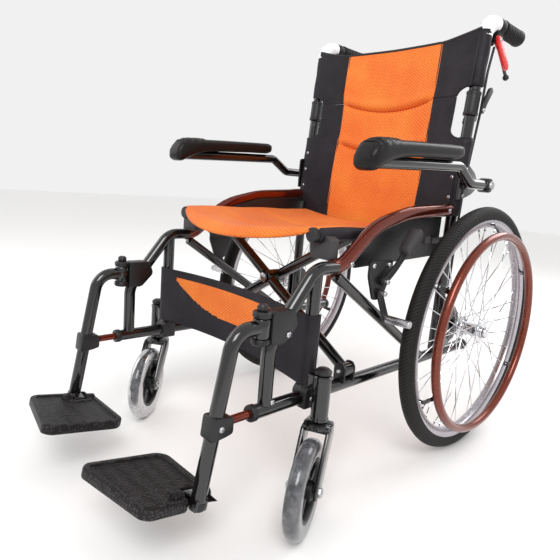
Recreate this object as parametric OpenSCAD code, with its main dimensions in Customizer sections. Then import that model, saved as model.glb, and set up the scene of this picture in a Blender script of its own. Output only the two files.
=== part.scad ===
// Folding manual wheelchair. Z is up, the seat faces -Y and the user's left hand is at +X.
// The origin is on the floor in the middle of the chair.
// Side pieces are drawn for the left side, with Y counted from the rear axle, and mirrored.

/* [Wheels] */
// Outer diameter of the rear tyres
wheel_d = 508; // [500:1:512]
// Width of the rear tyre section
tyre_w = 28; // [24:1:30]
// Diameter of the handrim's centre line
handrim_d = 400; // [390:1:404]
// Outer diameter of the caster tyres
caster_d = 150; // [140:1:150]
// How far the left caster is turned at rest
left_caster_yaw = 27; // [0:1:45]
// How far the right caster is turned at rest
right_caster_yaw = 38; // [0:1:45]

/* [Frame] */
// Distance from the middle plane to each side frame
frame_x = 208; // [206:1:212]
// Diameter of the black frame tubes
tube_d = 22; // [20:1:22]
// Height of the lower rails
rail_z = 192; // [190:1:194]
// Height of the seat rails
seat_rail_z = 445; // [443:1:447]
// Distance from the middle plane to each seat rail
seat_rail_x = 178; // [174:1:179]

/* [Back and arms] */
// Height of the push handles' centre line
handle_z = 862; // [856:1:870]
// Height of the joint where the back folds down
back_joint_z = 679; // [670:1:690]
// Distance from the middle plane to each armrest
arm_x = 250; // [250:1:254]
// Length of the armrest pads
pad_l = 242; // [230:1:246]

/* [Footrests] */
// How far the footplates reach inwards from the hanger tubes
plate_reach = 142; // [120:1:146]
// Thickness of the footplates
plate_t = 12; // [10:1:14]

/* [Hidden] */
$fn = 48;

frame_black = "#1e1a1c";
copper = "#a0431f";
plastic_grey = "#3c3a3c";
steel = "#b8b8bc";
mesh_orange = "#e8782e";

axle_y = 246;          // the rear axle's place along Y
axle_z = wheel_d / 2;
wheel_x = 264;         // middle plane of the rear wheel
handrim_x = 300;
gap = 0.3;             // air left between neighbouring pieces
seam = 0.02;           // hairline between a bend and the straight after it

// Side frame outline, as Y from the axle and Z
rail_front_y = -548;
rail_back_y = 85;
rail_bore_d = 18;      // open rear end, for an anti-tip wheel
rail_bore_l = 60;
front_y = -525;        // the front tube's upright part
knee_z = 397;          // where the front tube runs level
post_y = -438;         // front post and caster stem
arch_front_y = -398;
rear_post_y = -44;
lean_z = 480;          // where the rear post starts to lean back
lean_angle = 4.8;
arch_d = 22;
front_path = [[front_y, rail_z], [front_y, 290], [-440, knee_z], [arch_front_y, knee_z]];
front_bends = [0, 40, 40, 0];
arch_path = [[arch_front_y + gap, knee_z], [-380, knee_z], [-300, 462], [-205, 487],
    [rear_post_y, 496]];
arch_bends = [0, 40, 150, 300, 0];
strut_top = [-392, 384];
strut_foot = [-92, rail_z];
strut_d = 19;

// Cross brace
brace_a_y = -341;
brace_b_y = -319;
brace_d = 20;
brace_foot_z = 216;
brace_bolt_d = 10;
brace_pin_d = 8;
brace_slope = atan2(seat_rail_z - brace_foot_z, frame_x + seat_rail_x);
brace_mid_z = brace_foot_z + frame_x * tan(brace_slope);
seat_front_y = -420;
seat_back_y = -62;

// Caster
stem_x = frame_x + 34;
stem_d = 12;
housing_d = 30;
housing_z = 164;
housing_h = 74;
crown_z = 154;
crown_t = 8;
trail = 50;
fork_leg_t = 6;
fork_gap = 34;
caster_w = 26;
caster_bolt_d = 8;

// Hanger and footplate
swing_y = -543;        // the upright pin that the hanger swings on
hanger_foot = [-636, 84];
hanger_knee = [-591, 320];
hanger_lean = atan2(hanger_knee[0] - hanger_foot[0], hanger_knee[1] - hanger_foot[1]);
flip_x = 19;           // the footplate's hinge, inwards from the hanger tube
bumper_z = 190;

// Back joint
joint_y = rear_post_y + (back_joint_z - lean_z) * tan(lean_angle);
hinge_y = joint_y + 22;
handle_end_y = 134;
handle_bend = 34;
cane_top_y = rear_post_y + (handle_z - lean_z) * tan(lean_angle);
grip_d = 32;
lever_pivot = [33, 836];
lock_pivot = [18, 830];
latch_pivot = [-18, 692];

// Armrest and parking brake
arm_pivot = [-6, 549];
arm_tube_z = 577;      // where the arm starts to run level
arm_drop = 14;         // how much lower its front end is
arm_bend_y = -122;
arm_front_y = -387;
brake_pivot = [-292, 372];
shoe_pivot = [-296, 352];
brake_x = 232;

// Rear hub
hub_in_x = 236;
hub_out_x = 292;
axle_d = 12;
spoke_n = 28;
rim_r = axle_z - tyre_w - gap;

// ---- placing ----
module left() translate([0, axle_y, 0]) children();
module right() mirror([1, 0, 0]) left() children();

// ---- shapes ----
module along_y(d, l) rotate([-90, 0, 0]) cylinder(d = d, h = l);
module along_x(d, l) rotate([0, 90, 0]) cylinder(d = d, h = l);

// A straight rod between two points
module rod(a, b, d) {
    v = b - a;
    translate(a) rotate([0, acos(v[2] / norm(v)), atan2(v[1], v[0])]) cylinder(d = d, h = norm(v));
}

// A 2D profile carried along a bent line in the YZ plane. Its x lies in the plane of the bends.
function heading(p, i) = atan2(p[i + 1][1] - p[i][1], p[i + 1][0] - p[i][0]);
function turn(p, i) = (heading(p, i) - heading(p, i - 1) + 540) % 360 - 180;
function trim(p, r, i) = i == 0 || i == len(p) - 1 ? 0 : r[i] * tan(abs(turn(p, i)) / 2);
module bent(p, r) {
    for (i = [0 : len(p) - 2])
        translate([0, p[i][0], p[i][1]]) rotate([heading(p, i), 0, 0])
            translate([0, trim(p, r, i) + seam, 0]) rotate([-90, 0, 0])
                linear_extrude(norm(p[i + 1] - p[i]) - trim(p, r, i) - trim(p, r, i + 1)
                    - 2 * seam) rotate(90) children();
    for (i = [1 : len(p) - 2])
        translate([0, p[i][0], p[i][1]]) rotate([heading(p, i - 1), 0, 0])
            translate([0, -trim(p, r, i), 0]) bend(r[i], turn(p, i)) children();
}
module bend(r, angle) {
    side = angle > 0 ? 1 : -1;
    translate([0, 0, side * r]) rotate([0, side * 90, 0])
        rotate_extrude(angle = abs(angle), $fn = 96) translate([r, 0]) children();
}

// A slot shape: two round ends joined by a square
module oval(l, w) {
    square([l - w, w], center = true);
    for (s = [-1, 1]) translate([s * (l - w) / 2, 0]) circle(d = w);
}

// A flat plate in the YZ plane, from x0 outwards
module side_plate(x0, t) translate([x0, 0, 0]) rotate([90, 0, 90]) linear_extrude(t) children();

// ---- raw tubes, also used to cope their neighbours ----
module rail_raw(grow = 0) translate([frame_x, rail_front_y, rail_z])
    along_y(tube_d + 2 * grow, rail_back_y - rail_front_y);
module front_raw(grow = 0) translate([frame_x, 0, 0])
    bent(front_path, front_bends) circle(d = tube_d + 2 * grow);
module arch_raw(grow = 0) translate([frame_x, 0, 0])
    bent(arch_path, arch_bends) circle(d = arch_d + 2 * grow);
module rear_post_raw(grow = 0) translate([frame_x, 0, 0])
    bent([[rear_post_y, rail_z], [rear_post_y, lean_z], [joint_y, back_joint_z]], [0, 200, 0])
        circle(d = tube_d + 2 * grow);
module strut_raw(grow = 0) translate([frame_x, 0, 0])
    bent([strut_top, strut_foot], [0, 0]) circle(d = strut_d + 2 * grow);
module front_post_raw(grow = 0) translate([frame_x, post_y, rail_z])
    cylinder(d = tube_d + 2 * grow, h = knee_z - rail_z);

// ---- side frame ----
module lower_rail() {
    color(frame_black) difference() {
        rail_raw();
        translate([frame_x, rail_back_y - rail_bore_l, rail_z]) along_y(rail_bore_d, rail_bore_l + 1);
    }
    color(frame_black) translate([frame_x, rail_front_y - 6, rail_z]) along_y(tube_d + 3, 6);
    color(copper) translate([frame_x, rail_front_y - 43, rail_z]) along_y(13, 37);
}

module front_tube() {
    color(frame_black) difference() {
        front_raw();
        rail_raw(gap);
    }
    color(plastic_grey) hanger_bracket();
}

// The plastic bracket on the front tube, with two ears round the upright swing pin
module hanger_bracket() {
    difference() {
        union() {
            side_plate(frame_x - 17, 34)
                polygon([[-530, 294], [-504, 290], [-474, 320], [-486, 342], [-530, 342]]);
            for (z = [296, 334])
                translate([frame_x, swing_y, z]) cylinder(d = 24, h = 8);
            for (z = [296, 334])
                translate([frame_x - 12, swing_y, z]) cube([24, 14, 8]);
            translate([frame_x, swing_y, 296]) cylinder(d = 8, h = 46);
        }
        front_raw(gap);
    }
}

module arch_tube() color(copper) difference() {
    arch_raw();
    translate([frame_x, rear_post_y, lean_z - 40]) cylinder(d = tube_d + 6 * gap, h = 80);
}

module front_post() color(frame_black) {
    difference() {
        front_post_raw();
        rail_raw(gap);
        front_raw(gap);
    }
    difference() {
        union() {
            translate([stem_x, post_y, housing_z]) cylinder(d = housing_d, h = housing_h);
            translate([frame_x + 8, post_y - 8, 206]) cube([stem_x - frame_x - 16, 16, 30]);
        }
        translate([stem_x, post_y, housing_z - 1]) cylinder(d = stem_d + 0.1, h = housing_h + 2);
    }
}

module rear_post() color(frame_black) {
    difference() {
        rear_post_raw();
        rail_raw(gap);
    }
    axle_plate();
    arm_bracket();
    back_hinge_lug();
}

// The plate beside the rear post that carries the axle
module axle_plate() difference() {
    side_plate(frame_x + 8, 11) difference() {
        union() {
            translate([rear_post_y - 8, 208]) square([16, 108]);
            polygon([[rear_post_y, 208], [6, 226], [22, 254], [6, 282], [rear_post_y, 316]]);
            translate([0, axle_z]) circle(d = 44);
        }
        translate([0, axle_z]) circle(d = axle_d + 0.2);
    }
}

// The gusset on the rear post and the bolt that the armrest turns on
module arm_bracket() {
    side_plate(frame_x + 9, 7)
        polygon([[-46, 572], [-30, 580], [4, 566], [14, 554], [12, 540], [-6, 530], [-46, 518]]);
    translate([frame_x + 15, arm_pivot[0], arm_pivot[1]]) along_x(10, arm_x - frame_x + 2);
    translate([arm_x + 13, arm_pivot[0], arm_pivot[1]]) along_x(18, 4);
}

// The fixed half of the back hinge, with its pin
module back_hinge_lug() {
    translate([frame_x - 9, joint_y, back_joint_z - 9]) cube([4.5, hinge_y - joint_y, 8]);
    translate([frame_x - 9, hinge_y, back_joint_z]) along_x(10, 4.5);
    translate([frame_x - 9, hinge_y, back_joint_z]) along_x(4, 10);
}

module diagonal_strut() color(frame_black) difference() {
    strut_raw();
    arch_raw(gap);
    front_raw(gap);
    rail_raw(gap);
}

// A thin panel inside the arch that keeps clothes off the wheel
module skirt_guard() color(frame_black)
    side_plate(frame_x - tube_d / 2 - 3.5, 3) polygon([[-340, 392], [-330, 388], [-126, 397],
        [-126, 446], [-102, 446], [-102, 398], [-66, 400], [-60, 406], [-60, 494], [-205, 486],
        [-300, 461], [-366, 408]]);

// Bolts, the caster clamp, the seat saddles, the brace bracket, the brake bracket and the axle
module frame_fittings(brace_y) {
    color(plastic_grey) saddle(-397, knee_z + tube_d / 2 + gap);
    color(plastic_grey) saddle(-114, 426);
    color(frame_black) translate([frame_x - 10, -104, 428]) cube([8, 48, 12]);
    color(plastic_grey) difference() {
        translate([frame_x - 14, post_y - 14, rail_z - 15]) cube([28, 28, 25]);
        rail_raw(gap);
        front_post_raw(gap);
    }
    color(frame_black) brace_bracket(brace_y);
    color(frame_black) brake_bracket();
    color(steel) {
        for (y = [-520, -505]) star_bolt(y, y < -510 ? 205 + 9 : 309, y < -510 ? 2 : 9);
        star_bolt(post_y, rail_z, 3);
        star_bolt(-364, 402, 2);
        translate([frame_x - 6, 0, axle_z]) along_x(axle_d, hub_out_x - frame_x + 8);
        translate([frame_x + 2, 0, axle_z]) along_x(20, 5);
        translate([hub_out_x + 0.8, 0, axle_z]) along_x(18, 6);
    }
}

// A domed bolt head on the outer face, standing out from the tube
module star_bolt(y, z, out) translate([frame_x + tube_d / 2 + out, y, z]) along_x(9, 4);

// A cradle that the seat rail drops into
module saddle(y, z0) difference() {
    translate([seat_rail_x - 14, y - 10, z0]) cube([frame_x - seat_rail_x + 11, 20, 442 - z0]);
    translate([seat_rail_x, y - 11, seat_rail_z]) along_y(tube_d + 2, 22);
    translate([seat_rail_x - tube_d / 2 - 1, y - 11, seat_rail_z]) cube([tube_d + 2, 22, 20]);
}

// Two ears on the lower rail with the pin that a cross bar turns on
module brace_bracket(y) {
    difference() {
        union() {
            for (s = [-1, 1]) translate([frame_x - 12, y + s * 13 - 2, rail_z])
                cube([24, 4, brace_foot_z - rail_z + 12]);
        }
        rail_raw(gap);
    }
    translate([frame_x, y - 16, brace_foot_z]) along_y(brace_pin_d, 32);
}

module brake_bracket() {
    difference() {
        side_plate(frame_x + 14, 4)
            polygon([[-322, 404], [-262, 404], [-262, 388], [-280, 340], [-306, 340], [-322, 380]]);
        arch_raw(gap);
    }
    translate([frame_x + 12, -310, 392]) cube([3, 40, 10]);
    for (p = [brake_pivot, shoe_pivot]) translate([frame_x + 17, p[0], p[1]]) along_x(6, 16);
}

// ---- back ----
module back_cane() color(frame_black) {
    difference() {
        union() {
            translate([frame_x, 0, 0])
                bent([[joint_y + 48 * tan(lean_angle), back_joint_z + 48], [cane_top_y, handle_z],
                    [handle_end_y, handle_z]], [0, handle_bend, 0]) circle(d = tube_d);
            translate([frame_x, joint_y, back_joint_z]) rotate([-lean_angle, 0, 0])
                translate([0, 0, 2]) cylinder(d = 29, h = 46.1);
            translate([frame_x - 3.5, joint_y + 8, back_joint_z + 2.5])
                cube([4.5, hinge_y - joint_y - 8, 6]);
            translate([frame_x - 3.5, hinge_y, back_joint_z]) along_x(10, 4.5);
        }
        translate([frame_x - 10, hinge_y, back_joint_z]) along_x(4.1, 20);
    }
}

module push_grip() color(frame_black) {
    difference() {
        union() {
            translate([frame_x, 52, handle_z]) along_y(grip_d - 3, handle_end_y - 50);
            for (y = [54 : 12 : handle_end_y - 6])
                translate([frame_x, y, handle_z]) along_y(grip_d, 7);
            translate([frame_x, 26, handle_z]) along_y(29, 24);
            translate([frame_x - 8, 20, lever_pivot[1] - 9]) cube([16, 24, 24]);
        }
        translate([frame_x, 15, handle_z]) along_y(tube_d + 2 * gap, handle_end_y - 15 + gap);
        translate([frame_x - 4.5, 15, lever_pivot[1] - 10]) cube([9, 30, 20]);
    }
    translate([frame_x - 9, lever_pivot[0], lever_pivot[1]]) along_x(5, 18);
    translate([frame_x + 8, lock_pivot[0], lock_pivot[1]]) along_x(5, 12);
    translate([frame_x + 6, lock_pivot[0], lock_pivot[1] - 4]) cube([2.5, 8, 8]);
}

module hand_lever() color(frame_black) difference() {
    union() {
        translate([frame_x - 4, lever_pivot[0], lever_pivot[1]]) along_x(13, 8);
        translate([frame_x, 0, 0]) bent([lever_pivot, [60, 823], [105, 778]], [0, 40, 0])
            circle(d = 7);
        translate([frame_x, 105, 778]) sphere(d = 12);
    }
    translate([frame_x - 5, lever_pivot[0], lever_pivot[1]]) along_x(5.1, 10);
}

module lock_lever() color("#c8201c") difference() {
    union() {
        translate([frame_x + 11.5, lock_pivot[0], lock_pivot[1]]) along_x(16, 7);
        translate([frame_x + 15, 0, 0]) bent([lock_pivot, [64, 790]], [0, 0]) oval(11, 6);
    }
    translate([frame_x + 11, lock_pivot[0], lock_pivot[1]]) along_x(5.1, 8);
}

module latch_lever() color(frame_black) {
    translate([frame_x + 16, latch_pivot[0], latch_pivot[1]]) along_x(11, 6);
    translate([frame_x + 19, 0, 0]) bent([latch_pivot, [-6, 714], [8, 734]], [0, 30, 0])
        oval(9, 6);
}

// The brake cable, held along the back of the cane and the rear post
module brake_cable() color(frame_black) translate([frame_x + 6, 0, 0])
    bent([[14, 816], [8, 770], [2, 690], [-20, 560], [-25, 470], [-25, 330]],
        [0, 60, 60, 150, 80, 0]) circle(d = 5);

// ---- armrest ----
module armrest_tube() color(frame_black) difference() {
    union() {
        translate([arm_x, 0, 0])
            bent([arm_pivot, [-74, arm_pivot[1]], [arm_bend_y, arm_tube_z],
                [arm_front_y, arm_tube_z - arm_drop]], [0, 28, 28, 0]) circle(d = 20);
        translate([arm_x - 11, arm_pivot[0], arm_pivot[1]]) along_x(28, 22);
    }
    translate([arm_x - 20, arm_pivot[0], arm_pivot[1]]) along_x(10.1, 40);
}

// The pad follows the tube's slope and turns down at the front
module armrest_pad() color(frame_black) difference() {
    side_plate(arm_x - 19.5, 41.5) polygon([[arm_front_y + pad_l, 611], [arm_front_y + 26, 598],
        [arm_front_y - 6, 590], [arm_front_y - 22, 576], [arm_front_y - 22, 556],
        [arm_front_y - 8, 549], [arm_front_y + 18, 564], [arm_front_y + 18, arm_tube_z - arm_drop],
        [arm_front_y + pad_l, arm_tube_z]]);
    translate([arm_x, 0, 0]) bent([[arm_bend_y, arm_tube_z],
        [arm_front_y - gap, arm_tube_z - arm_drop]], [0, 0]) circle(d = 21);
}

// ---- parking brake ----
module brake_lever() color(frame_black) difference() {
    union() {
        translate([brake_x - 4, brake_pivot[0], brake_pivot[1]]) along_x(15, 8);
        side_plate(brake_x - 3, 6) polygon([[-294, 376], [-262, 398], [-241, 420], [-232, 414],
            [-256, 388], [-290, 366]]);
        side_plate(brake_x - 9, 18) polygon([[-242, 424], [-214, 456], [-206, 458], [-200, 452],
            [-202, 444], [-230, 414]]);
    }
    translate([brake_x - 5, brake_pivot[0], brake_pivot[1]]) along_x(6.1, 10);
}

module brake_shoe() color(frame_black) difference() {
    union() {
        translate([brake_x - 5.4, shoe_pivot[0], shoe_pivot[1]]) along_x(12, 5);
        translate([brake_x - 2.9, 0, 0]) bent([shoe_pivot, [-268, 303]], [0, 0]) oval(10, 5);
        translate([brake_x - 5.4, -268, 303]) along_x(14, 52);
    }
    translate([brake_x - 10, shoe_pivot[0], shoe_pivot[1]]) along_x(6.1, 20);
}

// ---- footrest ----
module hanger_tube() color(frame_black) {
    difference() {
        union() {
            translate([frame_x, 0, 0]) bent([[swing_y - 4, hanger_knee[1]], hanger_knee, hanger_foot],
                [0, 32, 0]) circle(d = tube_d);
            translate([frame_x, swing_y, 304.5]) cylinder(d = 24, h = 29);
        }
        translate([frame_x, swing_y, 300]) cylinder(d = 8.1, h = 40);
    }
    bumper();
    flip_lug();
}

// The plastic clamp that meets the stub at the lower rail's front end
module bumper() difference() {
    union() {
        translate([frame_x - 15, -628, bumper_z - 17]) cube([30, 22, 34]);
        translate([frame_x - 11, -608, bumper_z - 12]) cube([22, 16.5, 24]);
    }
    translate([frame_x, 0, 0]) bent([hanger_knee, hanger_foot], [0, 0])
        circle(d = tube_d - 2);
}

// The tongue on the tube's foot that holds the footplate's hinge pin
module flip_lug() on_plate() {
    translate([0, 0, -5]) translate([-flip_x - 7, -10, -7]) cube([flip_x + 7, 20, 14]);
    translate([-flip_x, -30, 0]) along_y(6, 60);
}

// The footplate's own frame: x outwards, y to the rear along the plate, z along the tube
module on_plate() translate([frame_x, hanger_foot[0], hanger_foot[1]])
    rotate([-hanger_lean, 0, 0]) children();

module footplate() color(plastic_grey) on_plate() difference() {
    union() {
        translate([0, 0, -plate_t / 2]) linear_extrude(plate_t)
            plate_outline();
        for (s = [-1, 1]) translate([-flip_x, s * 22 - 8, 0]) along_y(20, 16);
    }
    translate([-flip_x, -50, 0]) along_y(6.1, 100);
    translate([-flip_x - 12, -13, -20]) cube([60, 26, 40]);
}

module plate_outline() difference() {
    union() {
        polygon([[2, -13], [2, -74], [-8, -84], [10 - plate_reach, -107], [-plate_reach, -97],
            [-plate_reach, 22], [12 - plate_reach, 33], [-flip_x, 33], [-flip_x, -13]]);
    }
    translate([-flip_x - 12, -13]) square([60, 26]);
}

// ---- caster, drawn with its stem on the Z axis ----
module at_stem(yaw) translate([stem_x, post_y, 0]) rotate(yaw) children();
module at_caster_axle() translate([0, -trail, caster_d / 2]) children();

module caster_fork(yaw) color(frame_black) at_stem(yaw) {
    translate([0, 0, crown_z + crown_t - 1]) cylinder(d = stem_d, h = housing_h + 4);
    translate([0, 0, crown_z + crown_t + housing_h + 3.2]) cylinder(d = 20, h = 4);
    translate([0, 0, crown_z]) cylinder(d = fork_gap + 2 * fork_leg_t, h = crown_t);
    difference() {
        for (s = [-1, 1])
            side_plate(s * (fork_gap + fork_leg_t) / 2 - fork_leg_t / 2, fork_leg_t) {
                polygon([[-15, crown_z + crown_t / 2], [15, crown_z + crown_t / 2],
                    [-trail + 11, caster_d / 2], [-trail - 11, caster_d / 2]]);
                translate([-trail, caster_d / 2]) circle(r = 12);
            }
        at_caster_axle() translate([-50, 0, 0]) along_x(caster_bolt_d + 0.1, 100);
    }
}

module caster_tyre(yaw) color("#b9bcc0") at_stem(yaw) at_caster_axle() rotate([0, 90, 0])
    rotate_extrude($fn = 96) translate([caster_d / 2 - 13, 0]) {
        translate([0, 0]) circle(d = caster_w);
    }

module caster_hub(yaw) at_stem(yaw) at_caster_axle() {
    color(frame_black) rotate([0, 90, 0]) rotate_extrude($fn = 96) {
        translate([caster_d / 2 - 31, -11]) square([31 - caster_w - gap, 22]);
        translate([caster_bolt_d / 2, -16]) square([11, 32]);
    }
    color(frame_black) for (a = [0 : 72 : 359]) rotate([a, 0, 0])
        translate([-7, -5, 14]) cube([14, 10, caster_d / 2 - 44]);
    color(steel) translate([-26, 0, 0]) along_x(caster_bolt_d, 52);
    color(steel) for (s = [-1, 1]) translate([s * 25.5 - 2, 0, 0]) along_x(14, 4);
}

// ---- rear wheel ----
module on_wheel() translate([wheel_x, 0, axle_z]) rotate([0, 90, 0]) children();

module rear_tyre() color("#2b2928") on_wheel() rotate_extrude($fn = 96)
    translate([axle_z - tyre_w / 2, 0]) circle(d = tyre_w);

// The rim, the laced spokes and the tabs that hold the handrim
module rear_rim() {
    color(steel) on_wheel() rotate_extrude($fn = 96)
        translate([rim_r - 12, -11]) square([12, 22]);
    color(steel) on_wheel() for (i = [0 : spoke_n - 1]) spoke(i);
    color(copper) on_wheel() for (a = [30 : 60 : 359]) rotate(a)
        rod([rim_r - 5, 0, 11.2], [handrim_d / 2 + 2, 0, handrim_x - wheel_x - 10.5], 6);
}

// A spoke leaves a hub flange at a tangent, from the two flanges in turn
module spoke(i) {
    side = i % 2 == 0 ? 1 : -1;
    a = i * 360 / spoke_n;
    rod([24 * cos(a + side * 40), 24 * sin(a + side * 40), side * 20],
        [(rim_r - 12.3) * cos(a), (rim_r - 12.3) * sin(a), side * 3], 2);
}

module rear_hub() color(plastic_grey) difference() {
    translate([hub_in_x, 0, axle_z]) union() {
        along_x(26, hub_out_x - hub_in_x);
        for (x = [4, hub_out_x - hub_in_x - 8]) translate([x, 0, 0]) along_x(45, 4);
        along_x(36, 3);
    }
    translate([hub_in_x - 1, 0, axle_z]) along_x(axle_d + 0.1, 100);
}

module handrim() color(copper) translate([handrim_x, 0, axle_z]) rotate([0, 90, 0])
    rotate_extrude($fn = 96) translate([handrim_d / 2, 0]) circle(d = 17);

// ---- cross brace, with Y from the axle ----
// Bar A runs from the left foot to the right seat rail. Bar B is its mirror image.
module cross_bar(y, bolt_hole) color(frame_black) difference() {
    union() {
        rod([frame_x, y, brace_foot_z], [-seat_rail_x, y, seat_rail_z], brace_d);
        translate([frame_x, y - brace_d / 2 - 0.5, brace_foot_z]) along_y(24, brace_d + 1);
        translate([0, y - brace_d / 2 - 0.5, brace_mid_z]) along_y(27, brace_d + 1);
        translate([-seat_rail_x, seat_front_y, seat_rail_z])
            along_y(tube_d, seat_back_y - seat_front_y);
    }
    translate([frame_x, y - 20, brace_foot_z]) along_y(brace_pin_d + 0.1, 40);
    translate([0, y - 20, brace_mid_z]) along_y(brace_bolt_d + bolt_hole, 40);
}
module cross_bar_a() {
    left() cross_bar(brace_a_y, -0.5);
    color(steel) left() pivot_bolt();
}
module cross_bar_b() right() cross_bar(brace_b_y, 0.1);
module pivot_bolt() {
    translate([0, brace_a_y - 13, brace_mid_z]) along_y(brace_bolt_d, brace_b_y - brace_a_y + 26);
    translate([0, brace_a_y - 15, brace_mid_z]) along_y(17, 4.8);
    translate([0, brace_b_y + 11, brace_mid_z]) along_y(17, 5);
}

// ---- upholstery, as plain closed solids ----
module seat_sling() color(mesh_orange) left() {
    translate([-160, seat_front_y + 2, 450]) cube([320, seat_back_y - seat_front_y - 8, 16]);
    translate([-192, seat_front_y + 2, seat_rail_z + tube_d / 2 + gap])
        cube([384, seat_back_y - seat_front_y - 8, 466 - seat_rail_z - tube_d / 2 - gap]);
}

module back_panel(z0, z1) left() translate([-190, rear_post_y, lean_z])
    rotate([-lean_angle, 0, 0]) translate([0, -8, z0 - lean_z]) cube([380, 12, z1 - z0]);
module backrest_upper() color(mesh_orange) back_panel(back_joint_z + 24, 830);
module backrest_lower() color(mesh_orange) back_panel(456, back_joint_z + 20);

module calf_strap() color(mesh_orange) left() translate([0, post_y + 3, 0]) rotate([90, 0, 0])
    linear_extrude(6) polygon([[-194, 328], [0, 320], [194, 328], [194, 210], [0, 220],
        [-194, 210]]);

left() lower_rail();  // left_lower_rail
left() front_tube();  // left_front_tube
left() arch_tube();  // left_arch_tube
left() front_post();  // left_front_post
left() rear_post();  // left_rear_post
left() diagonal_strut();  // left_diagonal_strut
left() skirt_guard();  // left_skirt_guard
left() frame_fittings(brace_a_y);  // left_frame_fittings
left() back_cane();  // left_back_cane
left() push_grip();  // left_push_grip
left() hand_lever();  // left_hand_lever
left() lock_lever();  // left_lock_lever
left() latch_lever();  // left_latch_lever
left() brake_cable();  // left_brake_cable
left() armrest_tube();  // left_armrest_tube
left() armrest_pad();  // left_armrest_pad
left() brake_lever();  // left_brake_lever
left() brake_shoe();  // left_brake_shoe
left() hanger_tube();  // left_hanger_tube
left() footplate();  // left_footplate
left() caster_fork(left_caster_yaw);  // left_caster_fork
left() caster_tyre(left_caster_yaw);  // left_caster_tyre
left() caster_hub(left_caster_yaw);  // left_caster_hub
left() rear_tyre();  // left_rear_tyre
left() rear_rim();  // left_rear_rim
left() rear_hub();  // left_rear_hub
left() handrim();  // left_handrim
right() lower_rail();  // right_lower_rail
right() front_tube();  // right_front_tube
right() arch_tube();  // right_arch_tube
right() front_post();  // right_front_post
right() rear_post();  // right_rear_post
right() diagonal_strut();  // right_diagonal_strut
right() skirt_guard();  // right_skirt_guard
right() frame_fittings(brace_b_y);  // right_frame_fittings
right() back_cane();  // right_back_cane
right() push_grip();  // right_push_grip
right() hand_lever();  // right_hand_lever
right() lock_lever();  // right_lock_lever
right() latch_lever();  // right_latch_lever
right() brake_cable();  // right_brake_cable
right() armrest_tube();  // right_armrest_tube
right() armrest_pad();  // right_armrest_pad
right() brake_lever();  // right_brake_lever
right() brake_shoe();  // right_brake_shoe
right() hanger_tube();  // right_hanger_tube
right() footplate();  // right_footplate
right() caster_fork(-right_caster_yaw);  // right_caster_fork
right() caster_tyre(-right_caster_yaw);  // right_caster_tyre
right() caster_hub(-right_caster_yaw);  // right_caster_hub
right() rear_tyre();  // right_rear_tyre
right() rear_rim();  // right_rear_rim
right() rear_hub();  // right_rear_hub
right() handrim();  // right_handrim
cross_bar_a();
cross_bar_b();
seat_sling();
backrest_upper();
backrest_lower();
calf_strap();
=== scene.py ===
import bpy
import bmesh
import math
from mathutils import Matrix, Vector


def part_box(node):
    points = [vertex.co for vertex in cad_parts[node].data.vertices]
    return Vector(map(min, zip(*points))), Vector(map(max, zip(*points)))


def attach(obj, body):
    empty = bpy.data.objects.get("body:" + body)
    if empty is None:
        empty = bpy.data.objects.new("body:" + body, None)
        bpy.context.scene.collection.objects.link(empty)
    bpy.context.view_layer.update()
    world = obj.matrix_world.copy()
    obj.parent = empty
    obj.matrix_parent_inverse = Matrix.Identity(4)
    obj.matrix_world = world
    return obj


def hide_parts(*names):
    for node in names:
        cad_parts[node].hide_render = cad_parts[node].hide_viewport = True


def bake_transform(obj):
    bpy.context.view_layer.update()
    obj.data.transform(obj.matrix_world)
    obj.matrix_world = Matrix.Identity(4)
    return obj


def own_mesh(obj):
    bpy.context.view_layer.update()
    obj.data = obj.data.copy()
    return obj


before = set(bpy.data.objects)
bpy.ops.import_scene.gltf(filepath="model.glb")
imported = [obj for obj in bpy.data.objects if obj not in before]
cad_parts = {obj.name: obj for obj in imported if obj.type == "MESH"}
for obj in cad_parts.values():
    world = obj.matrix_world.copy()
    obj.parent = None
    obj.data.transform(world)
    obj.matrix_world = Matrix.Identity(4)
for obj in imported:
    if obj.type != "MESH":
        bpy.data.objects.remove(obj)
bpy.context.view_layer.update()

hubLow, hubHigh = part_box("left_rear_hub")
axleY = (hubLow.y + hubHigh.y) / 2

# Camera. Places are in mm: X from the middle plane, Y from the rear axle, Z from the floor
cameraView = {"place": (716.9, -1015.5, 523.5), "yaw": 45.33, "pitch": 10.54, "roll": 4.79, "lens": 32.86,
        "shift": (-0.0020, -0.0056)}
yaw, pitch, roll = (math.radians(cameraView[k]) for k in ("yaw", "pitch", "roll"))
backward = Vector((math.sin(yaw) * math.cos(pitch), -math.cos(yaw) * math.cos(pitch), math.sin(pitch)))
levelRight = (-backward).cross(Vector((0, 0, 1))).normalized()
levelUp = levelRight.cross(-backward)
cameraRight = levelRight * math.cos(roll) + levelUp * math.sin(roll)
cameraUp = levelUp * math.cos(roll) - levelRight * math.sin(roll)
cameraData = bpy.data.cameras.new("camera")
cameraData.lens = cameraView["lens"]
cameraData.shift_x, cameraData.shift_y = cameraView["shift"]
camera = bpy.data.objects.new("camera", cameraData)
cameraPlace = Vector(cameraView["place"]) / 1000 + Vector((0, axleY, 0))
cameraTurn = Matrix((cameraRight, cameraUp, backward)).transposed().to_4x4()
camera.matrix_world = Matrix.Translation(cameraPlace) @ cameraTurn
bpy.context.scene.collection.objects.link(camera)
bpy.context.scene.camera = camera

# Light and floor
lighting = {"key": 52, "fill": 12, "back": 30, "world": 0.88, "floor": "#F6F5F4"}
bpy.context.scene.view_settings.view_transform = "Standard"
world = bpy.data.worlds.new("studio")
bpy.context.scene.world = world
world.use_nodes = True
world.node_tree.nodes["Background"].inputs["Color"].default_value = (1, 1, 1, 1)
world.node_tree.nodes["Background"].inputs["Strength"].default_value = lighting["world"]


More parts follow.
